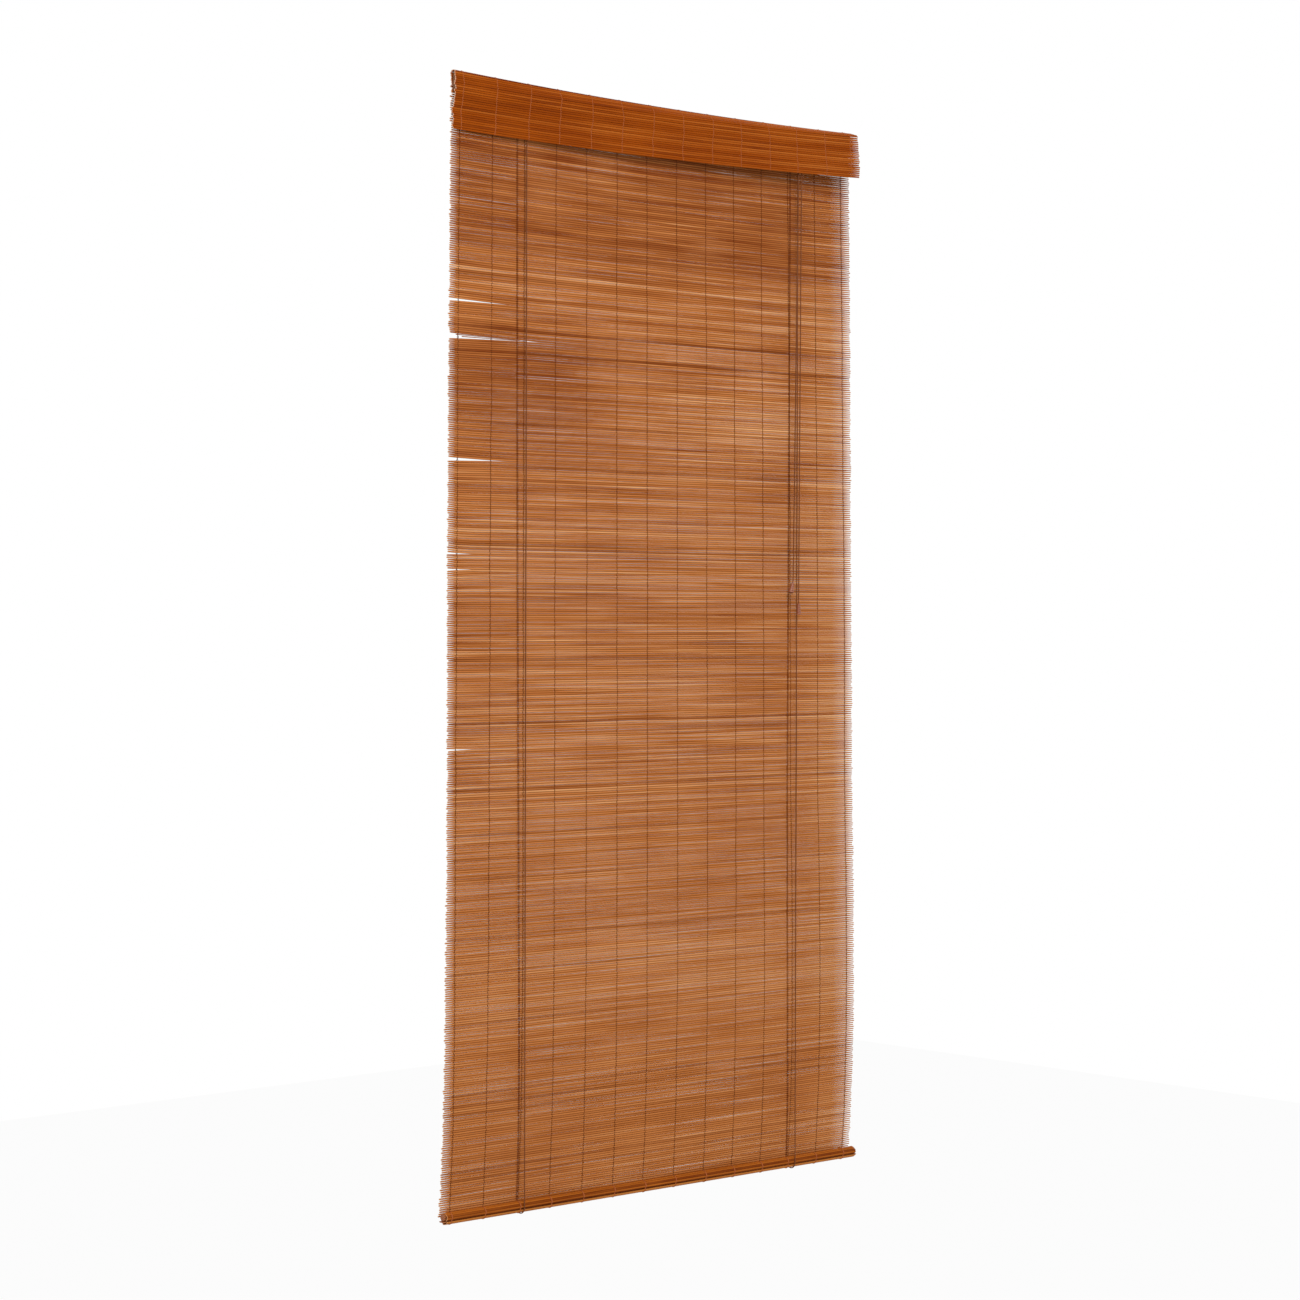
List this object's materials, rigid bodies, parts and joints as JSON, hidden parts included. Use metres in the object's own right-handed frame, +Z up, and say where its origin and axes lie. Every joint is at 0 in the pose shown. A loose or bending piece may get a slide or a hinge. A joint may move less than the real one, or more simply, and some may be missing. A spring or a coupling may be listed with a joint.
{
  "type": "bamboo roll-up blind",
  "caption": "Window blind of thin split bamboo reeds on warp threads, hanging from a wooden head rail with a folded valance, rolled up from its hem by two cords through a cord lock",
  "frame": {"origin": "midway between the two screw holes of the head rail, on the back face of the folded reed mat that lies against the wall", "axes": "+X along the head rail to the right as seen from the room, +Y from the room to the wall, +Z up"},
  "size_m": [0.9101, 0.0498, 1.8085],
  "materials": {
    "reeds": "stained split bamboo, satin",
    "warp_thread": "twisted cotton thread",
    "rail_wood": "stained softwood",
    "dowel_wood": "stained round dowel",
    "pull_wood": "turned and varnished",
    "cord": "braided cord",
    "steel": "zinc plated",
    "brass": "satin brass"
  },
  "bodies": {
    "head": {"head_rail": "rail_wood", "valance": "reeds", "valance_threads": "warp_thread", "mat": "reeds", "warp_threads": "warp_thread", "staples": "steel", "left_eye": "steel", "lock_housing": "steel", "lock_screws": "steel", "roller_pin": "steel", "pawl_pin": "steel", "cross_cord": "cord", "roller_cord": "cord", "lift_left_front": "cord", "lift_left_rear": "cord", "lift_right_front": "cord", "lift_right_rear": "cord", "pull_cord_1": "cord", "pull_cord_2": "cord"},
    "slings": {"left_sling": "cord", "right_sling": "cord"},
    "roll": {"hem_roll": "reeds", "bottom_dowel": "dowel_wood", "hem_lath": "rail_wood"},
    "pull_1": {"cord_pull_1": "pull_wood", "pull_knot_1": "cord"},
    "pull_2": {"cord_pull_2": "pull_wood", "pull_knot_2": "cord"},
    "lock_roller": {"lock_roller": "brass"},
    "lock_pawl": {"lock_pawl": "brass"}
  },
  "joints": [
    {"name": "lift", "type": "slide", "parent": "head", "child": "slings", "axis": [0, 0, 1], "range_m": [0, 1.6], "deforming": ["mat", "warp_threads", "lift_left_front", "lift_left_rear", "lift_right_front", "lift_right_rear"]},
    {"name": "roll_turn", "type": "hinge", "parent": "slings", "child": "roll", "pos_m": [-0.005, -0.0045, -1.7755], "axis": [0.9996, -0.0267, 0], "range_deg": [-4126, 0]},
    {"name": "pull_1_draw", "type": "slide", "parent": "head", "child": "pull_1", "axis": [0, -0.026, -0.9997], "range_m": [0, 3.2], "deforming": ["pull_cord_1"]},
    {"name": "pull_2_draw", "type": "slide", "parent": "head", "child": "pull_2", "axis": [0, -0.026, -0.9997], "range_m": [0, 3.2], "deforming": ["pull_cord_2"]},
    {"name": "roller_turn", "type": "hinge", "parent": "head", "child": "lock_roller", "pos_m": [0.31, -0.01685, 0], "axis": [1, 0, 0], "range_deg": [0, 41300]},
    {"name": "pawl_swing", "type": "hinge", "parent": "head", "child": "lock_pawl", "pos_m": [0.31, -0.01605, -0.0086], "axis": [1, 0, 0], "range_deg": [-24, 12]}
  ],
  "couplings": [
    {"joint": "roll_turn", "follows": "lift", "rad_per_m": -45},
    {"joint": "pull_1_draw", "follows": "lift", "ratio": 2},
    {"joint": "pull_2_draw", "follows": "lift", "ratio": 2},
    {"joint": "roller_turn", "follows": "lift", "rad_per_m": 449.44}
  ]
}
